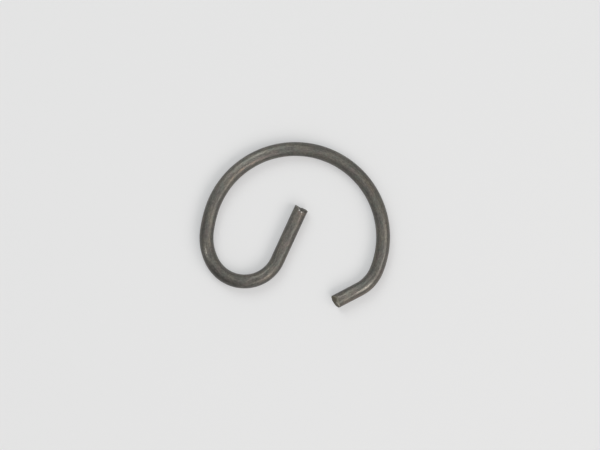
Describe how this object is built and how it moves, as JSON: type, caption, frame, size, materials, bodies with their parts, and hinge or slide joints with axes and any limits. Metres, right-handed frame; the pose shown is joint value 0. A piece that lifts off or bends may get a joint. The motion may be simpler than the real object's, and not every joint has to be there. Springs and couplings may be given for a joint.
{
  "type": "piston pin retaining ring",
  "caption": "Open ring of round spring wire with an inward hooked tang and a short inward tip, sprung into a bore groove to keep a piston pin in place.",
  "frame": {"origin": "centre of the ring's outer arc, on the ring's axis, in the middle plane of the wire", "axes": "+Z along the ring's axis, out of the bore; the ring lies flat in XY with its mouth towards -Y and the hooked tang on the -X side of the mouth"},
  "size_m": [0.0183, 0.0159, 0.0014],
  "materials": {
    "spring_wire": "dark grey oil-tempered spring steel, satin, with faint brown tints"
  },
  "bodies": {
    "root": {"retaining_ring": "spring_wire"}
  },
  "joints": []
}
